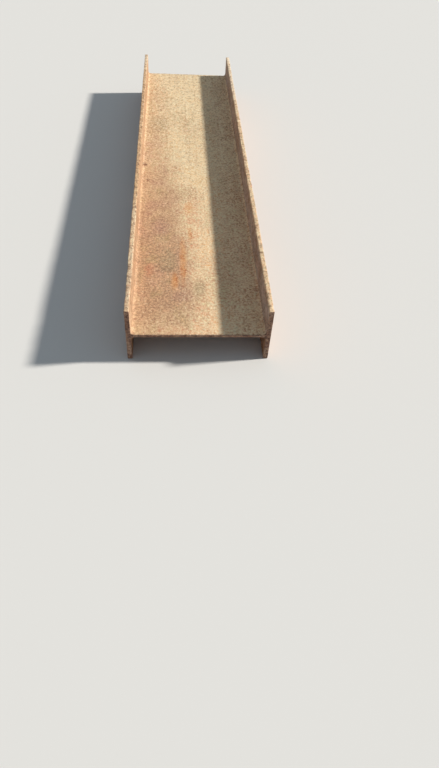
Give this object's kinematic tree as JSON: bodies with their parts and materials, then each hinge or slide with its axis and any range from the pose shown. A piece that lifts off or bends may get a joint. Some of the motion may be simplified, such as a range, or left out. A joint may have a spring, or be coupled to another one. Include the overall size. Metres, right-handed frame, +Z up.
{
  "type": "steel i-beam",
  "caption": "Short offcut of rolled steel I-beam with wide flanges, rusted all over, lying on its flange toes with the web level and a square cut at each end.",
  "frame": {"origin": "on the floor, under the middle of the beam", "axes": "+Y along the beam, +X across it from one flange to the other, +Z up out of the level web"},
  "size_m": [0.41, 1.9, 0.179],
  "materials": {
    "rusted_steel": "matte"
  },
  "bodies": {
    "root": {"i_beam": "rusted_steel"}
  },
  "joints": []
}
